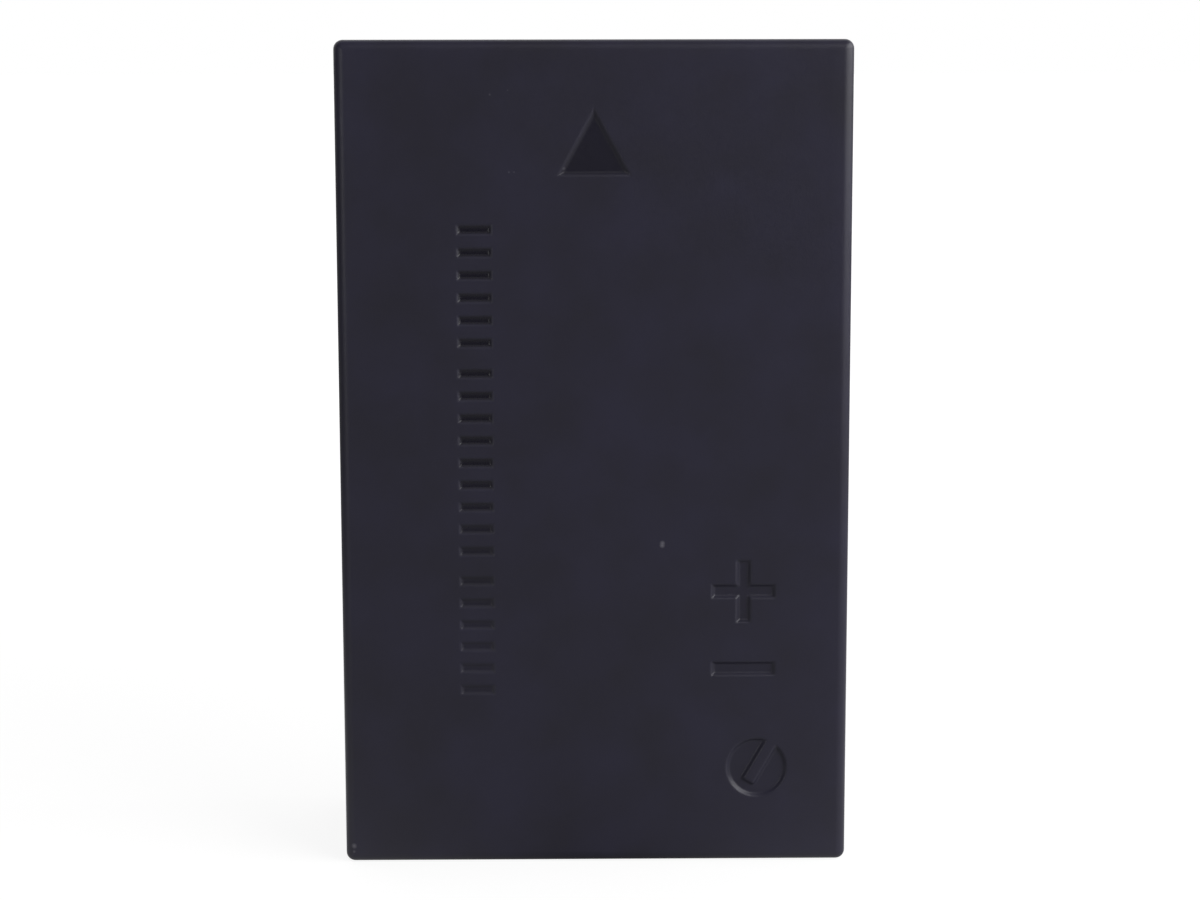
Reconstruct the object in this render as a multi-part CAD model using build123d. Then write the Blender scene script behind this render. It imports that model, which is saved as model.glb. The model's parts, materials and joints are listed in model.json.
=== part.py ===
"""Rechargeable camera battery, built as the real pack is.

A moulded case in two parts, welded along a tongue and rebate, holds two flat cells in series, their
straps and insulation, a protection board, and three plated contacts that show in the leading end.

The origin is the middle of the trailing end, on which the battery stands. +Z is the way it goes into
the camera, as the arrow on the cover points, and the cover faces -Y. Lengths are in millimetres.
"""

import os

from build123d import *

# Case
case_width = 30.7
case_depth = 14.3
case_height = 50.0
side_wall = 1.0
end_wall = 1.2
back_wall = 1.0
cover_plate = 1.0
cover_depth = 2.0  # from the cover's face to the parting line
outline_radius = 0.55  # corners seen from the cover side
cover_edge_radius = 0.5
back_edge_radius = 0.5
cavity_radius = 0.4
parting_bevel = 0.12

# Welded joint between cover and body
tongue_wall = 0.45
tongue_depth = 1.0
weld_gap = 0.05

# Shallow label pocket in the back
pocket_side_margin = 1.6
pocket_end_margin = 3.0
pocket_depth = 0.15
pocket_radius = 1.0

# Sunk marks on the cover: draft of their walls, in degrees from square to the face
mark_draft = 60.0
mark_depth = 0.16

# Insertion arrow
arrow_width = 4.6
arrow_height = 4.2
arrow_to_end = 3.85  # point of the arrow to the leading end

# Row of plain strokes down the left of the cover, in groups
stroke_length = 2.2
stroke_width = 0.75
stroke_pitch = 1.35
stroke_groups = (6, 9, 6)
group_space = 0.5  # added between the last stroke of a group and the first of the next
strokes_to_side = 8.2  # middle of the row to the left side
strokes_rise = 24.85  # middle of the row above the trailing end

# Plus and minus signs, low on the right of the cover
sign_length = 4.0
sign_stroke = 1.0
signs_to_side = 6.35  # middle of the signs to the right side
minus_rise = 12.1
plus_rise = 16.9

# Moulder's dial below the signs: a sunk disc with a raised pointer
dial_radius = 1.9
dial_to_side = 5.5  # middle of the dial to the right side
dial_rise = 5.9
pointer_width = 0.5
pointer_tail = 0.9  # from the middle of the dial to the pointer's free end
pointer_turn = 60.0  # of the end that meets the dial's rim, in degrees from +X

# Cells and what packs them
cell_side_gap = 0.35
cell_corner_radius = 1.5
cell_base_bevel = 0.4
lid_rim = 0.5
lid_groove = 0.2
lid_groove_depth = 0.1
terminal_length = 3.2
terminal_width = 2.2
terminal_height = 0.4
tab_offset = 8.0  # welded tab to the post, along the lid
plug_offset = 4.5  # filling plug to the post, on the other side
plug_radius = 0.6
plug_height = 0.15
rear_tape_thickness = 0.2
cell_tape_thickness = 0.2
tape_margin = 2.0
front_pad_thickness = 0.3
base_pad_thickness = 0.8
pad_margin = 1.5
insulator_thickness = 0.15
insulator_gap = 0.3  # round the terminals

# Straps and thermal cut-out
strap_width = 2.6
strap_thickness = 0.15
strap_bend = 0.2
strap_riser_gap = 2.6  # upright part of a strap to the side wall
strap_foot = 1.3
strap_clearance = 0.45  # under the tallest part on the board
cutoff_length = 3.4
cutoff_width = 2.8
cutoff_thickness = 0.5

# Protection board
board_thickness = 0.8
board_gap = 0.15
board_corner_radius = 0.5
board_to_end_wall = 1.6
rib_reach = 0.7
rib_height = 0.6
rib_end_gap = 0.3  # ends of the ribs to the cover's tongue
rib_slack = 0.1  # above the board

# Contacts and the windows they show in
contact_names = ("negative_contact", "sense_contact", "positive_contact")
contact_pitch = 5.4
contacts_to_side = 5.95  # middle of the first contact to the left side
contact_width = 3.0
contact_length = 4.6
contact_sheet = 0.3
contact_bend = 0.5
contact_recess = 0.6  # below the leading end
window_gap = 0.2
window_bevel = 0.2

# Parts under the board: length, width and height of their bodies
protection_size = (2.9, 1.6, 1.1)
protection_lead_count = 3  # on each side
protection_lead_pitch = 0.95
protection_at = (4.4, -2.2)
transistor_size = (3.0, 4.4, 1.0)
transistor_lead_count = 4
transistor_lead_pitch = 0.65
transistor_at = (-3.6, -2.2)
lead_width = 0.3
lead_sheet = 0.15
lead_reach = 0.6
lead_rise = 0.5
chip_step = 0.03  # chip's body below its metal ends
chip_end = 0.35
thermistor_size = (2.0, 1.2, 0.9)
thermistor_at = (8.4, -2.2)
capacitor_size = (1.6, 0.8, 0.8)
capacitor_count = 3
capacitor_at = (-4.8, 2.2)  # middle of the row
resistor_size = (1.6, 0.8, 0.45)
resistor_count = 4
resistor_at = (4.8, 2.2)
chip_pitch = 2.4

# Faces and heights that pieces share
cover_face = -case_depth / 2
back_face = case_depth / 2
parting = cover_face + cover_depth
cavity_front = cover_face + cover_plate
cavity_back = back_face - back_wall
cavity_base = end_wall
cavity_top = case_height - end_wall
cavity_width = case_width - 2 * side_wall

board_top = cavity_top - board_to_end_wall
board_under = board_top - board_thickness
parts_under = board_under - max(
    protection_size[2], transistor_size[2], thermistor_size[2], capacitor_size[2], resistor_size[2]
)
cutoff_top = parts_under - strap_clearance - strap_thickness
terminal_top = cutoff_top - cutoff_thickness
cell_top = terminal_top - terminal_height
cell_base = cavity_base + base_pad_thickness
cell_height = cell_top - cell_base
cell_width = cavity_width - 2 * cell_side_gap

rear_cell_back = cavity_back - rear_tape_thickness
front_cell_front = cavity_front + front_pad_thickness
cell_thickness = (rear_cell_back - front_cell_front - cell_tape_thickness) / 2
rear_cell_middle = rear_cell_back - cell_thickness / 2
front_cell_middle = front_cell_front + cell_thickness / 2
stack_middle = (rear_cell_back + front_cell_front) / 2
stack_depth = rear_cell_back - front_cell_front

riser = cavity_width / 2 - strap_riser_gap


def upright_prism(width, height, radius, middle_height, front, back):
    """Rounded rectangle seen from the cover side, from one depth to another."""
    plane = Plane.XZ.offset(-back)
    return extrude(plane * Pos(0, middle_height) * RectangleRounded(width, height, radius), back - front)


def slab(width, depth, thickness, middle, base, radius):
    """Flat plate with rounded corners, lying level on a base height."""
    outline = Pos(middle[0], middle[1], base) * RectangleRounded(width, depth, radius)
    return extrude(outline, thickness)


def case_section(margin_side, margin_end, radius, front, back):
    """Prism of the case's outline, drawn in by a margin at its sides and ends."""
    width = case_width - 2 * margin_side
    height = case_height - 2 * margin_end
    return upright_prism(width, height, radius, case_height / 2, front, back)


def rim_edges(shape, side):
    """Outer edges of the face that lies furthest to one side along Y."""
    faces = shape.faces().sort_by(Axis.Y)
    face = faces[0] if side < 0 else faces[-1]
    return face.outer_wire().edges()


def sunk(outline):
    """Plug that sinks a mark drawn in the plane of the cover's face, with drafted walls."""
    return extrude(Plane.XZ.offset(-cover_face) * outline, -mark_depth, taper=mark_draft)


def arrow_outline():
    point = case_height - arrow_to_end
    base = point - arrow_height
    half = arrow_width / 2
    return make_face(Polyline((0, point), (-half, base), (half, base), close=True))


def stroke_outlines():
    """Level strokes, one above another, from the leading end down in groups."""
    drops = []
    drop = 0.0
    for count in stroke_groups:
        drops += [drop + index * stroke_pitch for index in range(count)]
        drop = drops[-1] + stroke_pitch + group_space
    first = strokes_rise + drops[-1] / 2
    middle = strokes_to_side - case_width / 2
    stroke = Rectangle(stroke_length, stroke_width)
    return [Pos(middle, first - drop) * stroke for drop in drops]


def sign_outlines():
    middle = case_width / 2 - signs_to_side
    bar = Rectangle(sign_length, sign_stroke)
    plus = bar + Rectangle(sign_stroke, sign_length)
    return [Pos(middle, plus_rise) * plus, Pos(middle, minus_rise) * bar]


def dial_outline():
    """Disc with a pointer left standing in it, which runs from near the middle into the rim."""
    middle = Pos(case_width / 2 - dial_to_side, dial_rise)
    pointer = Pos(-pointer_tail, 0) * Rectangle(
        pointer_tail + 2 * dial_radius, pointer_width, align=(Align.MIN, Align.CENTER)
    )
    return middle * Rot(0, 0, pointer_turn) * (Circle(dial_radius) - pointer)


def case_cover():
    """Front half of the case: face plate, rim, and the tongue that goes into the body."""
    shell = case_section(0, 0, outline_radius, cover_face, parting)
    shell = fillet(rim_edges(shell, -1), cover_edge_radius)
    shell = chamfer(rim_edges(shell, 1), parting_bevel)
    shell += case_section(
        side_wall - tongue_wall, end_wall - tongue_wall, cavity_radius + tongue_wall,
        parting, parting + tongue_depth,
    )
    shell -= case_section(side_wall, end_wall, cavity_radius, cavity_front, parting + tongue_depth)
    for outline in [arrow_outline(), *stroke_outlines(), *sign_outlines(), dial_outline()]:
        shell -= sunk(outline)
    return shell


def contact_places():
    """Middle of each contact, seen from the leading end."""
    first = contacts_to_side - case_width / 2
    return [Pos(first + index * contact_pitch, 0) for index in range(len(contact_names))]


def case_body():
    """Tub of the case: back, sides and ends, with the tongue's rebate, board ribs and windows."""
    shell = case_section(0, 0, outline_radius, parting, back_face)
    shell = fillet(rim_edges(shell, 1), back_edge_radius)
    shell = chamfer(rim_edges(shell, -1), parting_bevel)
    shell -= case_section(side_wall, end_wall, cavity_radius, parting, cavity_back)
    rebate = tongue_wall + weld_gap
    rebate_end = parting + tongue_depth + weld_gap
    shell -= case_section(
        side_wall - rebate, end_wall - rebate, cavity_radius + rebate, parting, rebate_end
    )
    shell -= case_section(
        pocket_side_margin, pocket_end_margin, pocket_radius, back_face - pocket_depth, back_face
    )
    shell += board_ribs(rebate_end + rib_end_gap)
    for place in contact_places():
        shell -= place * window()
    return shell


def board_ribs(front):
    """Ribs on both side walls, below and above the board's edges."""
    depth = cavity_back - front
    bases = (board_under - rib_height, board_top + rib_slack)
    ribs = []
    for side in (-1, 1):
        middle = (side * (cavity_width - rib_reach) / 2, front + depth / 2)
        for base in bases:
            rib = Pos(*middle, base) * Box(
                rib_reach, depth, rib_height, align=(Align.CENTER, Align.CENTER, Align.MIN)
            )
            ribs.append(rib)
    return ribs


def window():
    """Opening in the leading end for one contact, with a bevelled mouth."""
    width = contact_width + 2 * window_gap
    length = contact_length + 2 * window_gap
    opening = extrude(Pos(0, 0, cavity_top) * Rectangle(width, length), end_wall)
    mouth = Rectangle(width + 2 * window_bevel, length + 2 * window_bevel)
    return opening + extrude(Pos(0, 0, case_height) * mouth, -window_bevel, taper=45)


def cell(middle, tab_side):
    """Drawn can with a welded lid, its insulated post, and the tab and filling plug on the lid."""
    outline = RectangleRounded(cell_width, cell_thickness, cell_corner_radius)
    can = extrude(Pos(0, 0, cell_base) * outline, cell_height)
    can = chamfer(can.faces().sort_by(Axis.Z)[0].edges(), cell_base_bevel)
    groove = lid_outline(lid_rim) - lid_outline(lid_rim + lid_groove)
    can -= extrude(Pos(0, 0, cell_top) * groove, -lid_groove_depth)
    post = SlotOverall(terminal_length, terminal_width)
    can += extrude(Pos(0, 0, cell_top) * post, terminal_height)
    tab = Rectangle(terminal_length, terminal_width)
    can += extrude(Pos(tab_side * tab_offset, 0, cell_top) * tab, terminal_height)
    plug = Circle(plug_radius)
    can += extrude(Pos(-tab_side * plug_offset, 0, cell_top) * plug, plug_height)
    return Pos(0, middle) * can


def lid_outline(margin):
    """Outline of a cell's lid, drawn in by a margin."""
    return RectangleRounded(
        cell_width - 2 * margin, cell_thickness - 2 * margin, cell_corner_radius - margin
    )


def cell_sheet(margin, front, back):
    """Tape or pad on the flat of a cell, drawn in from its edges by a margin."""
    width = cell_width - 2 * margin
    height = cell_height - 2 * margin
    return upright_prism(width, height, cavity_radius, cell_base + cell_height / 2, front, back)


def base_pad():
    width = cell_width - 2 * pad_margin
    depth = stack_depth - 2 * pad_margin
    return slab(width, depth, base_pad_thickness, (0, stack_middle), cavity_base, cavity_radius)


def cell_insulator():
    """Card over both lids, cut out round the terminals and filling plugs."""
    card = slab(
        cell_width, stack_depth, insulator_thickness, (0, stack_middle), cell_top, cell_corner_radius
    )
    hole = Rectangle(terminal_length + 2 * insulator_gap, terminal_width + 2 * insulator_gap)
    plug_hole = Circle(plug_radius + insulator_gap)
    for middle, tab_side in ((front_cell_middle, 1), (rear_cell_middle, -1)):
        cuts = [hole, Pos(tab_side * tab_offset, 0) * hole, Pos(-tab_side * plug_offset, 0) * plug_hole]
        for cut in cuts:
            card -= extrude(Pos(0, middle, cell_top) * cut, insulator_thickness)
    return card


def bent_strap(start, side, level, middle):
    """Strip that lies level, turns up near a side wall and ends in a foot under the board."""
    path = FilletPolyline(
        (side * start, level),
        (side * riser, level),
        (side * riser, board_under - strap_thickness),
        (side * (riser + strap_foot), board_under - strap_thickness),
        radius=strap_bend,
    )
    upper = Side.RIGHT if side < 0 else Side.LEFT
    strip = make_face(offset(path, strap_thickness, side=upper))
    return extrude(Plane.XZ.offset(-middle) * strip, strap_width / 2, both=True)


def negative_strap():
    """From the thermal cut-out on the front cell's post to the board."""
    return bent_strap(-cutoff_length / 2, -1, cutoff_top, front_cell_middle)


def positive_strap():
    """From the rear cell's tab to the board."""
    return bent_strap(tab_offset - terminal_length / 2, -1, terminal_top, rear_cell_middle)


def series_strap():
    """From the rear cell's post across to the front cell's tab, with a tail to the board."""
    tail = bent_strap(-terminal_length / 2, 1, terminal_top, rear_cell_middle)
    front = front_cell_middle - strap_width / 2
    depth = rear_cell_middle - front
    leg = Pos(tab_offset, front + depth / 2, terminal_top) * Rectangle(strap_width, depth)
    return tail + extrude(leg, strap_thickness)


def thermal_cutoff():
    return slab(
        cutoff_length, cutoff_width, cutoff_thickness,
        (0, front_cell_middle), terminal_top, strap_bend,
    )


def circuit_board():
    width = cavity_width - 2 * board_gap
    depth = cavity_back - cavity_front - 2 * board_gap
    middle = (0, (cavity_back + cavity_front) / 2)
    return slab(width, depth, board_thickness, middle, board_under, board_corner_radius)


def contact():
    """Sheet bent to a bridge: a flat top that the camera's pin presses on, and two legs."""
    top = case_height - contact_recess
    middle = contact_width / 2
    path = FilletPolyline(
        (-middle, board_top), (-middle, top), (middle, top), (middle, board_top), radius=contact_bend
    )
    sheet = make_face(offset(path, contact_sheet, side=Side.RIGHT))
    return extrude(Plane.XZ * sheet, contact_length / 2, both=True)


def leaded_chip(size, lead_count, lead_pitch, place):
    """Moulded chip that hangs under the board on rows of bent leads along two sides."""
    length, width, height = size
    body = Pos(0, 0, lead_sheet) * Box(
        length, width, height - lead_sheet, align=(Align.CENTER, Align.CENTER, Align.MIN)
    )
    knee = (width + lead_reach) / 2
    toe = width / 2 + lead_reach
    path = Polyline((0, lead_rise), (knee, lead_rise), (knee, 0), (toe, 0))
    profile = make_face(offset(path, lead_sheet, kind=Kind.INTERSECTION, side=Side.LEFT))
    lead = extrude(Plane.YZ * profile, lead_width / 2, both=True)
    leads = []
    for spot in GridLocations(lead_pitch, 1, lead_count, 1):
        leads += [spot * lead, spot * Rot(0, 0, 180) * lead]
    return Pos(*place, board_under) * Rot(180, 0, 0) * (body + leads)


def chip(size):
    """Chip part with metal ends that stand a little proud of its body."""
    length, width, height = size
    body = Box(length - 2 * chip_end, width - 2 * chip_step, height - 2 * chip_step)
    end = Box(chip_end, width, height)
    ends = [Pos(side * (length - chip_end) / 2, 0, 0) * end for side in (-1, 1)]
    return Pos(0, 0, board_under - height / 2) * (body + ends)


def chip_row(size, count, middle):
    """Row of like chip parts under the board, as separate solids."""
    places = GridLocations(chip_pitch, 1, count, 1)
    return Compound([Pos(*middle) * place * chip(size) for place in places])


nodes = {
    "case_cover": case_cover(),
    "case_body": case_body(),
    "front_cell": cell(front_cell_middle, 1),
    "rear_cell": cell(rear_cell_middle, -1),
    "rear_tape": cell_sheet(tape_margin, rear_cell_back, cavity_back),
    "cell_tape": cell_sheet(
        tape_margin, stack_middle - cell_tape_thickness / 2, stack_middle + cell_tape_thickness / 2
    ),
    "front_pad": cell_sheet(pad_margin, cavity_front, front_cell_front),
    "base_pad": base_pad(),
    "cell_insulator": cell_insulator(),
    "negative_strap": negative_strap(),
    "positive_strap": positive_strap(),
    "series_strap": series_strap(),
    "thermal_cutoff": thermal_cutoff(),
    "circuit_board": circuit_board(),
    "protection_chip": leaded_chip(
        protection_size, protection_lead_count, protection_lead_pitch, protection_at
    ),
    "switch_transistors": leaded_chip(
        transistor_size, transistor_lead_count, transistor_lead_pitch, transistor_at
    ),
    "thermistor": Pos(*thermistor_at) * chip(thermistor_size),
    "chip_capacitors": chip_row(capacitor_size, capacitor_count, capacitor_at),
    "chip_resistors": chip_row(resistor_size, resistor_count, resistor_at),
}
for name, place in zip(contact_names, contact_places()):
    nodes[name] = place * contact()

os.makedirs("parts", exist_ok=True)
for name, shape in nodes.items():
    export_step(shape, f"parts/{name}.step")
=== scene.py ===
"""Camera battery: finishes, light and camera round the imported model.

Metres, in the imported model's frame: the cover faces -Y, +Z is the way the battery goes into a camera, and
the trailing end stands on z = 0. The cover is a new surface with soft-edged sunk marks. Every other piece
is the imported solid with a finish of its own.
"""

import json
import math

import bmesh
import bpy
import numpy as np
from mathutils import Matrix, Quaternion, Vector


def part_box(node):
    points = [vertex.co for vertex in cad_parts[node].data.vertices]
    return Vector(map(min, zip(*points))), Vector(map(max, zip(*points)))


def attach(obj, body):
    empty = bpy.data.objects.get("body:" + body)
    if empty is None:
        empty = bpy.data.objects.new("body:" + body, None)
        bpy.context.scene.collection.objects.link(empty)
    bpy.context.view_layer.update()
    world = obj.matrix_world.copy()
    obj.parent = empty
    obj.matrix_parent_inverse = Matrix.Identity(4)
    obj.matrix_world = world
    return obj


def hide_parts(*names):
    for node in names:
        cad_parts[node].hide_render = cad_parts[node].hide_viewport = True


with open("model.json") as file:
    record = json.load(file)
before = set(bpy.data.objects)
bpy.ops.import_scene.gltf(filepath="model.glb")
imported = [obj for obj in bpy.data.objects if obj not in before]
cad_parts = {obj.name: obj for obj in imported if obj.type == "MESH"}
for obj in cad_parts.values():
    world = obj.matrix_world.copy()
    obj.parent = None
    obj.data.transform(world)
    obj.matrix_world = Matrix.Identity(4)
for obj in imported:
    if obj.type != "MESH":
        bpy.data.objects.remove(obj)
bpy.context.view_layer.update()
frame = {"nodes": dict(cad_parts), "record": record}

MM = 0.001

# Case, as its solids are built
cover_low, cover_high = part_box("case_cover")
half_width = cover_high.x
case_height = cover_high.z
cover_face = cover_low.y
back_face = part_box("case_body")[1].y
tongue_end = cover_high.y
side_wall = 1.0 * MM
end_wall = 1.2 * MM
cover_plate = 1.0 * MM
cover_depth = 2.0 * MM  # from the cover's face to the parting line
outline_radius = 0.55 * MM
cover_edge_radius = 0.5 * MM
edge_run = 0.65 * MM  # from the outline to where the face starts to ease into its edge
cavity_radius = 0.4 * MM
parting_bevel = 0.12 * MM
tongue_wall = 0.45 * MM

# Sunk marks: a wall is the run over which a mark's edge eases down to its floor
arrow_depth = 0.16 * MM
arrow_wall = 0.36 * MM
stroke_depth = 0.13 * MM
stroke_wall = 0.3 * MM
sign_depth = 0.2 * MM
sign_wall = 0.3 * MM

# Painted shade in the marks' floors, from 0 as on the face to 1, and the heights between which the row's
# painted shade pales
arrow_shade = 0.57
stroke_shades = (0.25, 0.9)
stroke_shade_rises = (12.0 * MM, 25.0 * MM)
sign_shade = 0.1
dial_shade = 0.06
shade_start, shade_full = 0.2, 0.7  # shares of the way down between which the shade comes in

# Insertion arrow
arrow_half = 2.3 * MM
arrow_point = case_height - 3.85 * MM
arrow_base = arrow_point - 4.2 * MM

# Row of plain strokes, in groups from the leading end down
stroke_half_length = 1.1 * MM
stroke_half_width = 0.375 * MM
stroke_pitch = 1.35 * MM
stroke_groups = (6, 9, 6)
group_space = 0.5 * MM
strokes_across = 8.2 * MM - half_width
strokes_rise = 24.85 * MM

# Plus and minus signs, and the moulder's dial below them
sign_half_length = 2.0 * MM
sign_half_stroke = 0.5 * MM
signs_across = half_width - 6.35 * MM
minus_rise = 12.1 * MM
plus_rise = 16.9 * MM
dial_radius = 1.9 * MM
dial_across = half_width - 5.5 * MM
dial_rise = 5.9 * MM
pointer_half_width = 0.25 * MM
pointer_tail = 0.9 * MM
pointer_turn = math.radians(60)

# Steps of the cover's mesh: over the marks' walls, over plain face, and round its corners and edge
fine_step = 0.07 * MM
plain_step = 0.9 * MM
wall_reach = 0.33 * MM
corner_steps = 7
fillet_steps = 8
merge_distance = 0.0001 * MM
crease_angle = math.radians(62)

# Pale spots on the cover's face, most of them knocks: place across, height and reach of each
pale_spots_and_painted_glint = (
    (4.06 * MM, 19.76 * MM, 0.19 * MM),
    (4.07 * MM, 19.89 * MM, 0.19 * MM),
    # Painted highlight: a glint where the arrow's left wall meets its base
    (-1.76 * MM, 42.42 * MM, 0.16 * MM),
    (-6.15 * MM, 46.8 * MM, 0.08 * MM),
    (-5.1 * MM, 47.05 * MM, 0.06 * MM),
    (-5.05 * MM, 42.25 * MM, 0.08 * MM),
    (-4.75 * MM, 42.25 * MM, 0.07 * MM),
    # Two pale spots at the lower left corner of the face
    (-14.85 * MM, 1.04 * MM, 0.2 * MM),
    (-14.85 * MM, 0.68 * MM, 0.12 * MM),
)
# The same full reach holds for the pale spots and the painted highlight
full_spot = 0.2 * MM  # reach of a knock that shows at full strength
rubbed_width = 0.5 * MM  # from an edge of the case to where its rubbing ends

# Parts on the board
lead_reach = 0.6 * MM
chip_pitch = 2.4 * MM
chip_end = 0.35 * MM

# Camera, fitted to the four sides of the case in the photograph
sight_distance = 0.166
sight_azimuth = math.radians(0.652)
sight_dip = math.radians(8.776)
sight_roll = math.radians(-0.0996)
sight_aim = Vector((0.388 * MM, 0, case_height / 2 - 0.493 * MM))
sight_lens = 79.251
sensor_width = 36.0
near_clip = 0.01

# Room, from its dim front to its white wall behind, by how far a direction points to +Y
front_level, wall_level = 0.1, 1.0
wall_start, wall_full = -0.1, 0.6

# Floor: its glow at the battery's foot and far off, and how much of it shows in the battery's gloss, which
# grows with its bearing towards +Y and fades with distance
floor_reach = 4.0
foot_glow, far_glow = 0.86, 1.0
glow_start, glow_full = 0.04, 0.25
gloss_bearing_start, gloss_bearing_full = -1.2, 0.3
gloss_near, gloss_far = 0.035, 0.11
gloss_far_share = 0.08

# Sockets of the colour Mix node, which share their names with its other sockets
FACTOR, FIRST, SECOND, RESULT = 0, 6, 7, 2


def linear(code):
    """Linear colour with alpha from an sRGB hex code: the sRGB curve undone channel by channel."""
    shares = [int(code[place:place + 2], 16) / 255 for place in (1, 3, 5)]
    return tuple(s / 12.92 if s <= 0.04045 else ((s + 0.055) / 1.055) ** 2.4 for s in shares) + (1.0,)


def put(tree, kind, inputs=None, **settings):
    """Adds a node: settings are its properties, and inputs maps a socket to a value, to an output to link, or
    to a node, which stands for its first output."""
    node = tree.nodes.new(kind)
    for key, value in settings.items():
        setattr(node, key, value)
    for key, value in (inputs or {}).items():
        if isinstance(value, bpy.types.Node):
            value = value.outputs[0]
        if isinstance(value, bpy.types.NodeSocket):
            tree.links.new(value, node.inputs[key])
        else:
            node.inputs[key].default_value = value
    return node


def start_finish(name):
    """New material with an empty tree. Returns the material, its tree and the piece's own coordinates."""
    material = bpy.data.materials.new(name)
    material.use_nodes = True
    tree = material.node_tree
    tree.nodes.clear()
    return material, tree, put(tree, "ShaderNodeTexCoord").outputs["Object"]


def blend(tree, share, first, second):
    """Colour between a first and a second one, by the second one's share."""
    inputs = {FACTOR: share, FIRST: first, SECOND: second}
    return put(tree, "ShaderNodeMix", inputs, data_type="RGBA").outputs[RESULT]


def speckle(tree, place, spacing, detail):
    """Noise with about one grain to each spacing, the same along every axis."""
    return put(tree, "ShaderNodeTexNoise", {"Vector": place, "Scale": 1 / spacing, "Detail": detail})


def streaks(tree, place, spacing, detail):
    """Noise that is stretched to a spacing of its own along each axis."""
    stretched = put(tree, "ShaderNodeVectorMath", {0: place, 1: spacing}, operation="DIVIDE")
    return put(tree, "ShaderNodeTexNoise", {"Vector": stretched, "Scale": 1.0, "Detail": detail})


def ray_kinds(tree):
    """Outputs that tell rays apart, and a node that is 1 for rays that come straight from the camera."""
    kinds = put(tree, "ShaderNodeLightPath").outputs
    straight = {0: kinds["Is Camera Ray"], 1: kinds["Is Transmission Ray"]}
    return kinds, put(tree, "ShaderNodeMath", straight, operation="MAXIMUM")


def coat(tree, inputs):
    """Ends a material with its shader, whose sockets are set or linked here."""
    shader = put(tree, "ShaderNodeBsdfPrincipled", inputs)
    put(tree, "ShaderNodeOutputMaterial", {"Surface": shader})


def box_distance(across, up, half_across, half_up):
    """Signed distance to a rectangle about the origin: outside, the length of the overhang past its sides,
    and inside, the depth under its nearest side, as a negative number."""
    over_across = np.abs(across) - half_across
    over_up = np.abs(up) - half_up
    outside = np.hypot(np.maximum(over_across, 0), np.maximum(over_up, 0))
    return outside + np.minimum(np.maximum(over_across, over_up), 0)


def arrow_distance(x, z):
    """Signed distance to the arrow's triangle: the greatest of the distances to the lines of its sides."""
    height = arrow_point - arrow_base
    slant = math.hypot(height, arrow_half)
    side = ((np.abs(x) - arrow_half) * height + (z - arrow_base) * arrow_half) / slant
    return np.maximum(side, arrow_base - z)


def stroke_heights():
    """Heights of the strokes: steps of the pitch, with a further space between groups, set about the row's
    middle."""
    spaces = np.repeat(np.arange(len(stroke_groups)), stroke_groups) * group_space
    drops = np.arange(sum(stroke_groups)) * stroke_pitch + spaces
    return strokes_rise + drops[-1] / 2 - drops


def stroke_distance(x, z):
    """Signed distance to the nearest stroke: all strokes are one rectangle, met at the height of the
    nearest."""
    up = np.abs(z[..., None] - stroke_heights()).min(axis=-1)
    return box_distance(x - strokes_across, up, stroke_half_length, stroke_half_width)


def sign_distance(x, z):
    """Signed distance to the plus and the minus: the least of the distances to their three bars."""
    across = x - signs_across
    minus = box_distance(across, z - minus_rise, sign_half_length, sign_half_stroke)
    level_bar = box_distance(across, z - plus_rise, sign_half_length, sign_half_stroke)
    upright_bar = box_distance(across, z - plus_rise, sign_half_stroke, sign_half_length)
    return np.minimum(np.minimum(minus, level_bar), upright_bar)


def dial_distance(x, z):
    """Signed distance to the dial: a disc less its pointer, which is a rectangle met after turning each point
    about the dial's middle, from the pointer's free end to well past the rim."""
    across = x - dial_across
    up = z - dial_rise
    along = across * math.cos(pointer_turn) + up * math.sin(pointer_turn)
    aside = up * math.cos(pointer_turn) - across * math.sin(pointer_turn)
    half_length = pointer_tail / 2 + dial_radius
    pointer = box_distance(along + pointer_tail - half_length, aside, half_length, pointer_half_width)
    return np.maximum(np.hypot(across, up) - dial_radius, -pointer)


def sunk_marks(x, z):
    """Depth of the cover's face below its plane, and the painted shade there, from 0 on the face to 1.

    A mark goes down by a smoothstep, from 0 at its outline to its depth where the outline is a wall's run
    away. Its painted shade starts part of the way down the wall and rises evenly to the shade set for its
    floor."""
    depth = np.zeros_like(x)
    painted_shade = np.zeros_like(x)
    stroke_shade = np.interp(z, stroke_shade_rises, stroke_shades)
    for distance, deepest, wall, shade in (
        (arrow_distance, arrow_depth, arrow_wall, arrow_shade),
        (stroke_distance, stroke_depth, stroke_wall, stroke_shade),
        (sign_distance, sign_depth, sign_wall, sign_shade),
        (dial_distance, sign_depth, sign_wall, dial_shade),
    ):
        down = np.clip(-distance(x, z) / wall, 0, 1)
        down = down * down * (3 - 2 * down)
        depth = np.maximum(depth, deepest * down)
        shaded = np.clip((down - shade_start) / (shade_full - shade_start), 0, 1)
        painted_shade = np.maximum(painted_shade, shade * shaded)
    return depth, painted_shade


def graded_lines(low, high, bands):
    """Rising positions from low to high: the ends of the bands cut the stretch into runs, and each run is
    divided evenly, by the fine step inside a band and by the plain step between bands."""
    ends = [low]
    steps = []
    for band_low, band_high in sorted(bands):
        if band_low > ends[-1]:
            ends.append(band_low)
            steps.append(plain_step)
        if band_high > ends[-1]:
            ends.append(band_high)
            steps.append(fine_step)
    ends.append(high)
    steps.append(plain_step)
    runs = [
        np.linspace(start, end, math.ceil((end - start) / step), endpoint=False)
        for start, end, step in zip(ends, ends[1:], steps)
    ]
    return np.append(np.concatenate(runs), high)


def whole_band(low, high):
    """Band over a whole mark, from one edge to the other, and a step past both."""
    return (low - fine_step, high + fine_step)


def wall_bands(middle, *halves):
    """Bands over the walls inside the two straight edges that lie each half size from a middle, and a step
    past the edges."""
    bands = []
    for half in halves:
        outer = half + fine_step
        inner = half - wall_reach
        bands += [(middle - outer, middle - inner), (middle + inner, middle + outer)]
    return bands


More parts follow.
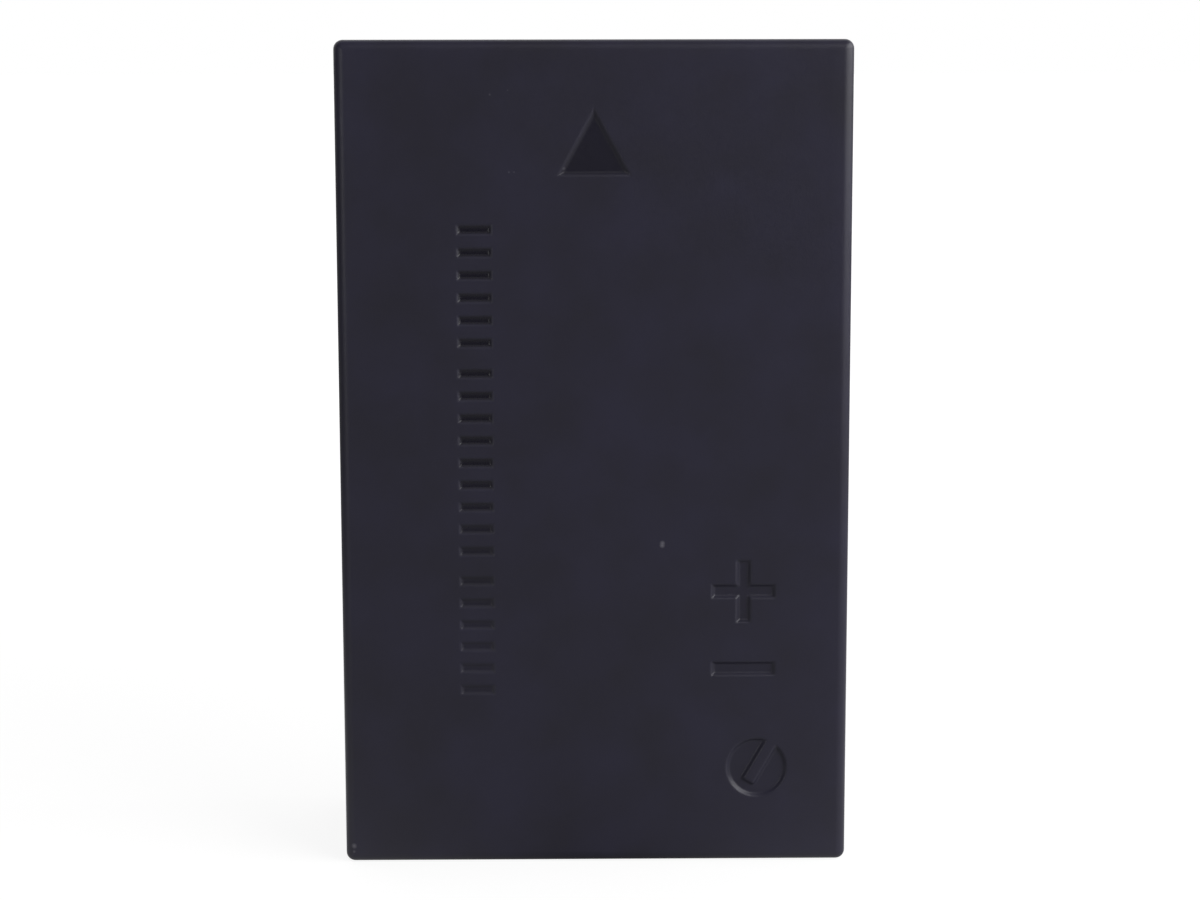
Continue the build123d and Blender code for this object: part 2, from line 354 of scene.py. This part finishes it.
def cover_lines():
    """Grid lines across and up the cover's face, close together over every wall of a mark."""
    across = [whole_band(-arrow_half, arrow_half)]
    across += wall_bands(strokes_across, stroke_half_length)
    across += wall_bands(signs_across, sign_half_length, sign_half_stroke)
    across.append(whole_band(dial_across - dial_radius, dial_across + dial_radius))
    up = [whole_band(arrow_base, arrow_point)]
    for height in stroke_heights():
        up += wall_bands(height, stroke_half_width)
    up += wall_bands(minus_rise, sign_half_stroke)
    up += wall_bands(plus_rise, sign_half_length, sign_half_stroke)
    up.append(whole_band(dial_rise - dial_radius, dial_rise + dial_radius))
    x = graded_lines(edge_run - half_width, half_width - edge_run, across)
    z = graded_lines(edge_run, case_height - edge_run, up)
    return x, z


def cover_profile():
    """Section of the cover from its face round to its inner plate, as margin at the sides, margin at the
    ends, corner radius and depth: quarter ellipse at the edge, rim, parting bevel, tongue, and the cavity's
    wall."""
    turn = np.linspace(0, math.pi / 2, fillet_steps + 1)
    fillet_in = edge_run * (1 - np.sin(turn))
    fillet_y = cover_face + cover_edge_radius * (1 - np.cos(turn))
    parting = cover_face + cover_depth
    support = parting_bevel / 2
    tongue_side = side_wall - tongue_wall
    tongue_end_margin = end_wall - tongue_wall
    tongue_radius = cavity_radius + tongue_wall
    cavity_front = cover_face + cover_plate
    profile = [(inward, inward, max(outline_radius - inward, 0), y) for inward, y in zip(fillet_in, fillet_y)]
    profile += [
        (0, 0, outline_radius, fillet_y[-1] + support),
        (0, 0, outline_radius, parting - parting_bevel - support),
        (0, 0, outline_radius, parting - parting_bevel),
        (parting_bevel, parting_bevel, outline_radius - parting_bevel, parting),
        (tongue_side, tongue_end_margin, tongue_radius, parting),
        (tongue_side, tongue_end_margin, tongue_radius, tongue_end),
        (side_wall, end_wall, cavity_radius, tongue_end),
        (side_wall, end_wall, cavity_radius, cavity_front),
        (side_wall + cavity_radius, end_wall + cavity_radius, 0, cavity_front),
    ]
    return profile


def outline_loop(share_x, share_z, side_margin, end_margin, radius, y):
    """Closed loop of points, from the lower left round by the right: a rectangle drawn in from the case by
    its margins, with quarter circles of the radius at its corners. Shares place points along its sides."""
    half = half_width - side_margin - radius
    low = end_margin + radius
    high = case_height - low
    x = half * share_x
    z = low + (high - low) * share_z
    turn = np.linspace(0, math.pi / 2, corner_steps + 1)[1:-1]
    sine = radius * np.sin(turn)
    cosine = radius * np.cos(turn)
    right = np.full(z.size, half + radius)
    top = np.full(x.size, high + radius)
    bottom = np.full(x.size, low - radius)
    loop_x = [x, half + sine, right, half + cosine, x[::-1], -half - sine, -right, -half - cosine]
    loop_z = [bottom, low - cosine, z, high + sine, top, high + cosine, z[::-1], low - sine]
    loop_x = np.concatenate(loop_x)
    return np.stack([loop_x, np.full(loop_x.size, y), np.concatenate(loop_z)], axis=-1)


def strip_faces(first, second):
    """Quads between two closed loops of vertex numbers, wound so that they face out of the shell."""
    return np.stack([first, second, np.roll(second, -1), np.roll(first, -1)], axis=-1)


def cover_shell():
    """Moulded cover as one closed surface: its face is a height field over a graded grid, the sunk depth of
    the marks at each grid point, and its section is carried round the outline in closed loops."""
    x, z = cover_lines()
    face_x, face_z = np.meshgrid(x, z)
    depth, _ = sunk_marks(face_x, face_z)
    face = np.stack([face_x, cover_face + depth, face_z], axis=-1).reshape(-1, 3)
    number = np.arange(face.shape[0]).reshape(z.size, x.size)
    corners = [number[:-1, :-1], number[:-1, 1:], number[1:, 1:], number[1:, :-1]]
    quads = [np.stack(corners, axis=-1).reshape(-1, 4)]

    share_x = x / x[-1]
    share_z = (z - z[0]) / (z[-1] - z[0])
    loops = np.stack([outline_loop(share_x, share_z, *section) for section in cover_profile()])
    loop_number = face.shape[0] + np.arange(loops.shape[0] * loops.shape[1]).reshape(loops.shape[:2])
    quads += [strip_faces(first, second) for first, second in zip(loop_number, loop_number[1:])]

    # The inner plate is level strips from its left side to its right, with a fan at each end
    inner = loop_number[-1]
    corner = corner_steps - 1
    starts = np.cumsum([0, x.size + corner, z.size + corner, x.size + corner])
    bottom = inner[starts[0]:starts[0] + x.size]
    right = inner[starts[1]:starts[1] + z.size]
    top = inner[starts[2]:starts[2] + x.size][::-1]
    left = inner[starts[3]:starts[3] + z.size][::-1]
    quads.append(np.stack([left[1:-2], left[2:-1], right[2:-1], right[1:-2]], axis=-1))
    low_fan = np.stack([bottom[:-1], np.full(x.size - 1, left[1]), bottom[1:]], axis=-1)
    high_fan = np.stack([np.full(x.size - 1, left[-2]), top[:-1], top[1:]], axis=-1)
    fan_ends = np.array([[right[0], left[1], right[1]], [left[-2], right[-1], right[-2]]])

    points = np.concatenate([face, loops.reshape(-1, 3)])
    faces = np.concatenate(quads).tolist() + np.concatenate([low_fan, high_fan, fan_ends]).tolist()
    mesh = bpy.data.meshes.new("cover_shell")
    mesh.from_pydata(points.tolist(), [], faces)
    merged = bmesh.new()
    merged.from_mesh(mesh)
    bmesh.ops.remove_doubles(merged, verts=merged.verts, dist=merge_distance)
    merged.to_mesh(mesh)
    merged.free()
    mesh.shade_smooth()
    mesh.set_sharp_from_angle(angle=crease_angle)

    place = np.empty(len(mesh.vertices) * 3, np.float32)
    mesh.vertices.foreach_get("co", place)
    place = place.reshape(-1, 3).astype(float)
    # Painted shade of the marks, kept on each vertex; the finish also makes the marks smoother with it
    _, painted_shade = sunk_marks(place[:, 0], place[:, 2])
    painted_mark_shade_and_smoothness = mesh.attributes.new("painted_mark_shade_and_smoothness", "FLOAT", "POINT")
    painted_mark_shade_and_smoothness.data.foreach_set("value", painted_shade.astype(np.float32))
    shell = bpy.data.objects.new("cover_shell", mesh)
    bpy.context.collection.objects.link(shell)
    return shell


def moulded_pc_abs():
    """Polycarbonate blend moulded in a spark-eroded tool: a dull charcoal with a violet cast, an even fine
    grain, faint clouds, edges rubbed a little smoother, a few pale knocks and spots with a painted highlight
    among them, and smooth floors in the marks, darkened by painted shade."""
    material, tree, place = start_finish("moulded_pc_abs")
    # Painted shade of the marks, read from the cover's vertices; it also makes their floors smoother
    painted_mark_shade_and_smoothness = put(tree, "ShaderNodeAttribute", attribute_name="painted_mark_shade_and_smoothness").outputs["Fac"]

    # Crater spacing of the tool is about 0.06 mm, drawn at 0.16 mm so that it shows
    grain = speckle(tree, place, 0.16 * MM, 2.0)
    cloud = speckle(tree, place, 4 * MM, 4.0)
    patch = speckle(tree, place, 1.5 * MM, 2.0)

    # An edge is near where the second least of the depths under the case's three pairs of faces is small
    middle = (0, (cover_face + back_face) / 2, case_height / 2)
    halves = (half_width, (back_face - cover_face) / 2, case_height / 2)
    offset = put(tree, "ShaderNodeVectorMath", {0: place, 1: middle}, operation="SUBTRACT")
    offset = put(tree, "ShaderNodeVectorMath", {0: offset}, operation="ABSOLUTE")
    depths = put(tree, "ShaderNodeVectorMath", {0: halves, 1: offset}, operation="SUBTRACT")
    depth = put(tree, "ShaderNodeSeparateXYZ", {0: depths}).outputs
    least = put(tree, "ShaderNodeMath", {0: depth["X"], 1: depth["Y"]}, operation="MINIMUM")
    greater = put(tree, "ShaderNodeMath", {0: depth["X"], 1: depth["Y"]}, operation="MAXIMUM")
    second = put(tree, "ShaderNodeMath", {0: greater, 1: depth["Z"]}, operation="MINIMUM")
    second = put(tree, "ShaderNodeMath", {0: second, 1: least}, operation="MAXIMUM")
    near_edge = put(tree, "ShaderNodeMapRange", {0: second, 1: rubbed_width, 2: 0.0})
    rubbed = put(tree, "ShaderNodeMapRange", {0: patch, 1: 0.35, 2: 0.75, 4: 0.5})
    rubbed = put(tree, "ShaderNodeMath", {0: near_edge, 1: rubbed}, operation="MULTIPLY")

    # Each spot fades from its point out to its reach; the one at the arrow's corner is a painted highlight
    spot_and_glint_mask = 0.0
    for across, up, reach in pale_spots_and_painted_glint:
        point = (across, cover_face, up)
        away = put(tree, "ShaderNodeVectorMath", {0: place, 1: point}, operation="DISTANCE").outputs["Value"]
        spot = put(tree, "ShaderNodeMapRange", {0: away, 1: reach, 2: 0.0, 4: reach / full_spot})
        spot_and_glint_mask = put(tree, "ShaderNodeMath", {0: spot_and_glint_mask, 1: spot}, operation="MAXIMUM")

    shade = put(tree, "ShaderNodeMapRange", {0: cloud, 1: 0.3, 2: 0.7})
    colour = blend(tree, shade, linear("#292735"), linear("#2e2c3f"))
    # Painted shade: the marks' floors and the lower part of their walls darkened towards a near black
    colour = blend(tree, painted_mark_shade_and_smoothness, colour, linear("#100d1c"))
    # Knocks, pale spots and the painted highlight at the arrow's corner, lightened towards a pale grey
    colour = blend(tree, spot_and_glint_mask, colour, linear("#77757f"))

    dull = put(tree, "ShaderNodeMapRange", {0: grain, 1: 0.3, 2: 0.7, 3: 0.36, 4: 0.44})
    smoother = put(tree, "ShaderNodeMath", {0: rubbed, 1: painted_mark_shade_and_smoothness}, operation="MAXIMUM")
    gloss = put(tree, "ShaderNodeMath", {0: smoother, 1: -0.14, 2: dull}, operation="MULTIPLY_ADD")
    relief = put(tree, "ShaderNodeBump", {"Height": grain, "Strength": 0.15, "Distance": 0.02 * MM})
    coat(tree, {"Base Color": colour, "Roughness": gloss, "IOR": 1.5, "Normal": relief})
    return material


def streaked_metal(name, shades, spacing, gloss):
    """Metal with the fine lines that drawing or rolling leaves: noise stretched to a spacing along each axis,
    which shifts the colour between two shades and the roughness between two ends."""
    material, tree, place = start_finish(name)
    lines = streaks(tree, place, spacing, 3.0)
    shift = put(tree, "ShaderNodeMapRange", {0: lines, 1: 0.35, 2: 0.65})
    colour = blend(tree, shift, linear(shades[0]), linear(shades[1]))
    dull = put(tree, "ShaderNodeMapRange", {0: lines, 1: 0.35, 2: 0.65, 3: gloss[0], 4: gloss[1]})
    relief = put(tree, "ShaderNodeBump", {"Height": lines, "Strength": 0.1, "Distance": 0.01 * MM})
    coat(tree, {"Base Color": colour, "Metallic": 1.0, "Roughness": dull, "Normal": relief})
    return material


def drawn_aluminium():
    """Deep-drawn cell can: bright grey with upright draw lines, drawn 0.12 mm apart so that they show."""
    spacing = (0.12 * MM, 0.12 * MM, 9 * MM)
    return streaked_metal("drawn_aluminium", ("#c9cacd", "#dcdde0"), spacing, (0.26, 0.4))


def rolled_nickel():
    """Rolled nickel strip: warm grey, with rolling lines along the straps."""
    spacing = (5 * MM, 0.1 * MM, 0.1 * MM)
    return streaked_metal("rolled_nickel", ("#aca596", "#c2bcae"), spacing, (0.28, 0.42))


def gold_plated_bronze():
    """Gold plate on rolled bronze: a yellow mirror, softened by the strip's faint rolling lines."""
    spacing = (0.06 * MM, 2 * MM, 0.06 * MM)
    return streaked_metal("gold_plated_bronze", ("#dbb066", "#e2b970"), spacing, (0.16, 0.22))


def tissue_tape():
    """Double-sided tape: milky adhesive, with a tissue of crossed fibres that show through it."""
    material, tree, place = start_finish("tissue_tape")
    fibres = 0.0
    for spacing in ((0.15 * MM, 0.15 * MM, 2.5 * MM), (2.5 * MM, 0.15 * MM, 0.15 * MM)):
        strands = streaks(tree, place, spacing, 1.0)
        fibres = put(tree, "ShaderNodeMath", {0: fibres, 1: strands}, operation="MAXIMUM")
    shade = put(tree, "ShaderNodeMapRange", {0: fibres, 1: 0.45, 2: 0.7})
    colour = blend(tree, shade, linear("#d3cfc2"), linear("#e9e6dc"))
    dull = put(tree, "ShaderNodeMapRange", {0: fibres, 1: 0.45, 2: 0.7, 3: 0.42, 4: 0.62})
    relief = put(tree, "ShaderNodeBump", {"Height": fibres, "Strength": 0.3, "Distance": 0.02 * MM})
    coat(tree, {"Base Color": colour, "Roughness": dull, "IOR": 1.47, "Normal": relief})
    return material


def open_cell_foam():
    """Cut polyurethane foam: dull black, pitted with pores about 0.4 mm across, darkened by painted shade
    between paler struts.
    """
    material, tree, place = start_finish("open_cell_foam")
    pores = put(tree, "ShaderNodeTexVoronoi", {"Vector": place, "Scale": 1 / (0.4 * MM)})
    # Painted shade: the colour darkens into the pores' hollows, the same hollows as the relief
    painted_pore_shade = put(tree, "ShaderNodeMapRange", {0: pores, 1: 0.2, 2: 0.8})
    colour = blend(tree, painted_pore_shade, linear("#1d1d1d"), linear("#4c4c4b"))
    dull = put(tree, "ShaderNodeMapRange", {0: pores, 1: 0.2, 2: 0.8, 3: 0.95, 4: 0.8})
    relief = put(tree, "ShaderNodeBump", {"Height": pores, "Strength": 0.7, "Distance": 0.15 * MM})
    coat(tree, {"Base Color": colour, "Roughness": dull, "IOR": 1.5, "Normal": relief})
    return material


def pressed_fibre_card():
    """Pressed insulating card: grey green, flecked by its fibres under a dull calendered skin."""
    material, tree, place = start_finish("pressed_fibre_card")
    flecks = streaks(tree, place, (0.9 * MM, 0.12 * MM, 0.12 * MM), 3.0)
    shade = put(tree, "ShaderNodeMapRange", {0: flecks, 1: 0.3, 2: 0.7})
    colour = blend(tree, shade, linear("#94a397"), linear("#a9b6aa"))
    dull = put(tree, "ShaderNodeMapRange", {0: flecks, 1: 0.3, 2: 0.7, 3: 0.62, 4: 0.78})
    relief = put(tree, "ShaderNodeBump", {"Height": flecks, "Strength": 0.2, "Distance": 0.02 * MM})
    coat(tree, {"Base Color": colour, "Roughness": dull, "IOR": 1.5, "Normal": relief})
    return material


def filled_polymer():
    """Carbon-filled polymer of the thermal cut-out: dull brown black with fine pale specks."""
    material, tree, place = start_finish("filled_polymer")
    specks = speckle(tree, place, 0.12 * MM, 3.0)
    shade = put(tree, "ShaderNodeMapRange", {0: specks, 1: 0.45, 2: 0.75})
    colour = blend(tree, shade, linear("#57534f"), linear("#75706a"))
    dull = put(tree, "ShaderNodeMapRange", {0: specks, 1: 0.3, 2: 0.7, 3: 0.5, 4: 0.64})
    relief = put(tree, "ShaderNodeBump", {"Height": specks, "Strength": 0.2, "Distance": 0.02 * MM})
    coat(tree, {"Base Color": colour, "Roughness": dull, "IOR": 1.5, "Normal": relief})
    return material


def masked_laminate():
    """Circuit board: glossy green mask over woven glass that shows through as a faint check, and bare
    straw-coloured laminate along the sawn edges."""
    material, tree, place = start_finish("masked_laminate")

    # A wave repeats each 2 pi / 20 of its scaled length, and the glass yarns lie about 0.5 mm apart
    yarn_scale = 2 * math.pi / 20 / (0.5 * MM)
    warp = put(tree, "ShaderNodeTexWave", {"Vector": place, "Scale": yarn_scale}, bands_direction="X")
    weft = put(tree, "ShaderNodeTexWave", {"Vector": place, "Scale": yarn_scale}, bands_direction="Y")
    yarns = {0: warp.outputs["Fac"], 1: weft.outputs["Fac"]}
    weave = put(tree, "ShaderNodeMath", yarns, operation="MULTIPLY")
    mask = blend(tree, weave, linear("#21653e"), linear("#2c774c"))
    facing = put(tree, "ShaderNodeNewGeometry").outputs["True Normal"]
    level = put(tree, "ShaderNodeSeparateXYZ", {0: facing}).outputs["Z"]
    level = put(tree, "ShaderNodeMath", {0: level}, operation="ABSOLUTE")
    colour = blend(tree, level, linear("#b3a673"), mask)
    dull = put(tree, "ShaderNodeMapRange", {0: level, 3: 0.7, 4: 0.3})
    relief = put(tree, "ShaderNodeBump", {"Height": weave, "Strength": 0.15, "Distance": 0.02 * MM})
    coat(tree, {"Base Color": colour, "Roughness": dull, "IOR": 1.5, "Normal": relief})
    return material


def epoxy_with_tinned_leads(node):
    """Chip: black epoxy body, finely mottled by its filler, and bright tinned leads along its two long sides,
    where a point lies further from the chip's middle than the body reaches."""
    low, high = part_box(node)
    material, tree, place = start_finish(f"epoxy_with_tinned_leads_{node}")
    filler = speckle(tree, place, 0.1 * MM, 2.0)
    aside = put(tree, "ShaderNodeSeparateXYZ", {0: place}).outputs["Y"]
    aside = put(tree, "ShaderNodeMath", {0: aside, 1: (low.y + high.y) / 2}, operation="SUBTRACT")
    aside = put(tree, "ShaderNodeMath", {0: aside}, operation="ABSOLUTE")
    body_half = (high.y - low.y) / 2 - lead_reach
    tinned = put(tree, "ShaderNodeMath", {0: aside, 1: body_half + 0.01 * MM}, operation="GREATER_THAN")
    epoxy = blend(tree, filler, linear("#1d1d1f"), linear("#303032"))
    colour = blend(tree, tinned, epoxy, linear("#c8c9c8"))
    dull = put(tree, "ShaderNodeMapRange", {0: tinned, 3: 0.6, 4: 0.32})
    relief = put(tree, "ShaderNodeBump", {"Height": filler, "Strength": 0.15, "Distance": 0.02 * MM})
    coat(tree, {"Base Color": colour, "Metallic": tinned, "Roughness": dull, "Normal": relief})
    return material


def ceramic_with_metal_ends(node):
    """Chip part: fired ceramic body, slightly mottled, between two tinned ends. Parts in a row repeat at the
    row's pitch, and one part's length is what the row leaves over past whole pitches."""
    low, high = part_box(node)
    length = (high.x - low.x) % chip_pitch
    material, tree, place = start_finish(f"ceramic_with_metal_ends_{node}")
    mottle = speckle(tree, place, 0.2 * MM, 2.0)
    along = put(tree, "ShaderNodeSeparateXYZ", {0: place}).outputs["X"]
    along = put(tree, "ShaderNodeMath", {0: along, 1: low.x}, operation="SUBTRACT")
    along = put(tree, "ShaderNodeMath", {0: along, 1: chip_pitch}, operation="FLOORED_MODULO")
    along = put(tree, "ShaderNodeMath", {0: along, 1: length / 2}, operation="SUBTRACT")
    along = put(tree, "ShaderNodeMath", {0: along}, operation="ABSOLUTE")
    tinned = put(tree, "ShaderNodeMath", {0: along, 1: length / 2 - chip_end}, operation="GREATER_THAN")
    ceramic = blend(tree, mottle, linear("#a88a6a"), linear("#bfa27f"))
    colour = blend(tree, tinned, ceramic, linear("#c8c9c8"))
    dull = put(tree, "ShaderNodeMapRange", {0: tinned, 3: 0.45, 4: 0.34})
    relief = put(tree, "ShaderNodeBump", {"Height": mottle, "Strength": 0.1, "Distance": 0.02 * MM})
    coat(tree, {"Base Color": colour, "Metallic": tinned, "Roughness": dull, "Normal": relief})
    return material


def softbox(name, middle, aim, width, height, power):
    """Rectangular lamp of a size in metres and a power in watts, at a place and turned to face its aim."""
    lamp = bpy.data.lights.new(name, "AREA")
    lamp.shape = "RECTANGLE"
    lamp.size = width
    lamp.size_y = height
    lamp.energy = power
    box = bpy.data.objects.new(name, lamp)
    box.location = middle
    box.rotation_euler = (Vector(aim) - Vector(middle)).to_track_quat("-Z", "Y").to_euler()
    bpy.context.collection.objects.link(box)


def studio_world():
    """Dim room in front that rises to a white wall behind, and plain white wherever the camera looks past the
    floor."""
    world = bpy.data.worlds.new("studio")
    bpy.context.scene.world = world
    world.use_nodes = True
    tree = world.node_tree
    tree.nodes.clear()
    _, seen = ray_kinds(tree)
    direction = put(tree, "ShaderNodeTexCoord").outputs["Generated"]
    back = put(tree, "ShaderNodeVectorMath", {0: direction, 1: (0, 1, 0)}, operation="DOT_PRODUCT")
    rise = {0: back.outputs["Value"], 1: wall_start, 2: wall_full, 3: front_level, 4: wall_level}
    room = put(tree, "ShaderNodeMapRange", rise)
    level = put(tree, "ShaderNodeMath", {0: seen, 1: room}, operation="MAXIMUM")
    background = put(tree, "ShaderNodeBackground", {"Color": linear("#ffffff"), "Strength": level})
    put(tree, "ShaderNodeOutputWorld", {"Surface": background})


def studio_floor():
    """Pale level sheet under the battery. Seen by the camera it has its own glow, which rises to full white
    with distance, so only the shadow at the battery's foot stays grey. The battery's gloss shows a share of
    that glow, most from the floor behind the battery and close to it."""
    mesh = bpy.data.meshes.new("floor")
    turns = ((-1, -1), (1, -1), (1, 1), (-1, 1))
    corners = [(floor_reach * across, floor_reach * along, 0) for across, along in turns]
    mesh.from_pydata(corners, [], [(0, 1, 2, 3)])
    floor = bpy.data.objects.new("floor", mesh)
    bpy.context.collection.objects.link(floor)
    material, tree, place = start_finish("pale_floor")
    distance = put(tree, "ShaderNodeVectorMath", {0: place}, operation="LENGTH").outputs["Value"]
    rise = {0: distance, 1: glow_start, 2: glow_full, 3: foot_glow, 4: far_glow}
    glow_level = put(tree, "ShaderNodeMapRange", rise, interpolation_type="SMOOTHSTEP")
    kinds, seen = ray_kinds(tree)
    bearing = put(tree, "ShaderNodeVectorMath", {0: place}, operation="NORMALIZE")
    behind = put(tree, "ShaderNodeSeparateXYZ", {0: bearing}).outputs["Y"]
    mirrored = put(tree, "ShaderNodeMapRange", {0: behind, 1: gloss_bearing_start, 2: gloss_bearing_full})
    fade = {0: distance, 1: gloss_near, 2: gloss_far, 3: 1.0, 4: gloss_far_share}
    near = put(tree, "ShaderNodeMapRange", fade)
    mirrored = put(tree, "ShaderNodeMath", {0: mirrored, 1: near}, operation="MULTIPLY")
    mirrored = put(tree, "ShaderNodeMath", {0: mirrored, 1: kinds["Is Glossy Ray"]}, operation="MULTIPLY")
    shown = put(tree, "ShaderNodeMath", {0: seen, 1: mirrored}, operation="MAXIMUM")
    strength = put(tree, "ShaderNodeMath", {0: glow_level, 1: shown}, operation="MULTIPLY")
    sheet = put(tree, "ShaderNodeBsdfDiffuse", {"Color": linear("#868686")})
    glow = put(tree, "ShaderNodeEmission", {"Strength": strength})
    both = put(tree, "ShaderNodeAddShader", {0: sheet, 1: glow})
    put(tree, "ShaderNodeOutputMaterial", {"Surface": both})
    mesh.materials.append(material)


def photograph_camera():
    """Camera set back from its aim along a line of sight that dips below level, and turned about that
    line."""
    forward = Vector((
        math.sin(sight_azimuth) * math.cos(sight_dip),
        math.cos(sight_azimuth) * math.cos(sight_dip),
        -math.sin(sight_dip),
    ))
    camera = bpy.data.objects.new("camera", bpy.data.cameras.new("camera"))
    camera.data.sensor_width = sensor_width
    camera.data.lens = sight_lens
    camera.data.clip_start = near_clip
    camera.location = sight_aim - sight_distance * forward
    turn = forward.to_track_quat("-Z", "Y") @ Quaternion((0.0, 0.0, 1.0), sight_roll)
    camera.rotation_euler = turn.to_euler()
    bpy.context.collection.objects.link(camera)
    bpy.context.scene.camera = camera


finishes = {
    "moulded_case": moulded_pc_abs(),
    "cell_can": drawn_aluminium(),
    "adhesive_tape": tissue_tape(),
    "foam": open_cell_foam(),
    "insulating_card": pressed_fibre_card(),
    "nickel_strip": rolled_nickel(),
    "cutoff_body": filled_polymer(),
    "board_laminate": masked_laminate(),
    "plated_contact": gold_plated_bronze(),
}
fitted_finishes = {"chip_moulding": epoxy_with_tinned_leads, "chip_ceramic": ceramic_with_metal_ends}
for subpart in frame["record"]["subparts"]:
    node = subpart["node"]
    slot = subpart["material_slot"]
    finish = fitted_finishes[slot](node) if slot in fitted_finishes else finishes[slot]
    frame["nodes"][node].material_slots[0].material = finish

cover = cover_shell()
cover.data.materials.append(finishes["moulded_case"])
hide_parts("case_cover")
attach(cover, "root")

case_middle = (0, 0, case_height / 2)
softbox("key_softbox", (0.163, -0.08, 0.115), case_middle, width=0.26, height=0.16, power=0.45)
softbox("left_softbox", (-0.15, -0.23, 0.045), case_middle, width=0.07, height=0.14, power=0.062)
softbox("top_softbox", (0.0, -0.36, 0.36), case_middle, width=0.36, height=0.20, power=0.08)
studio_world()
studio_floor()
photograph_camera()
bpy.context.scene.view_settings.view_transform = "Standard"
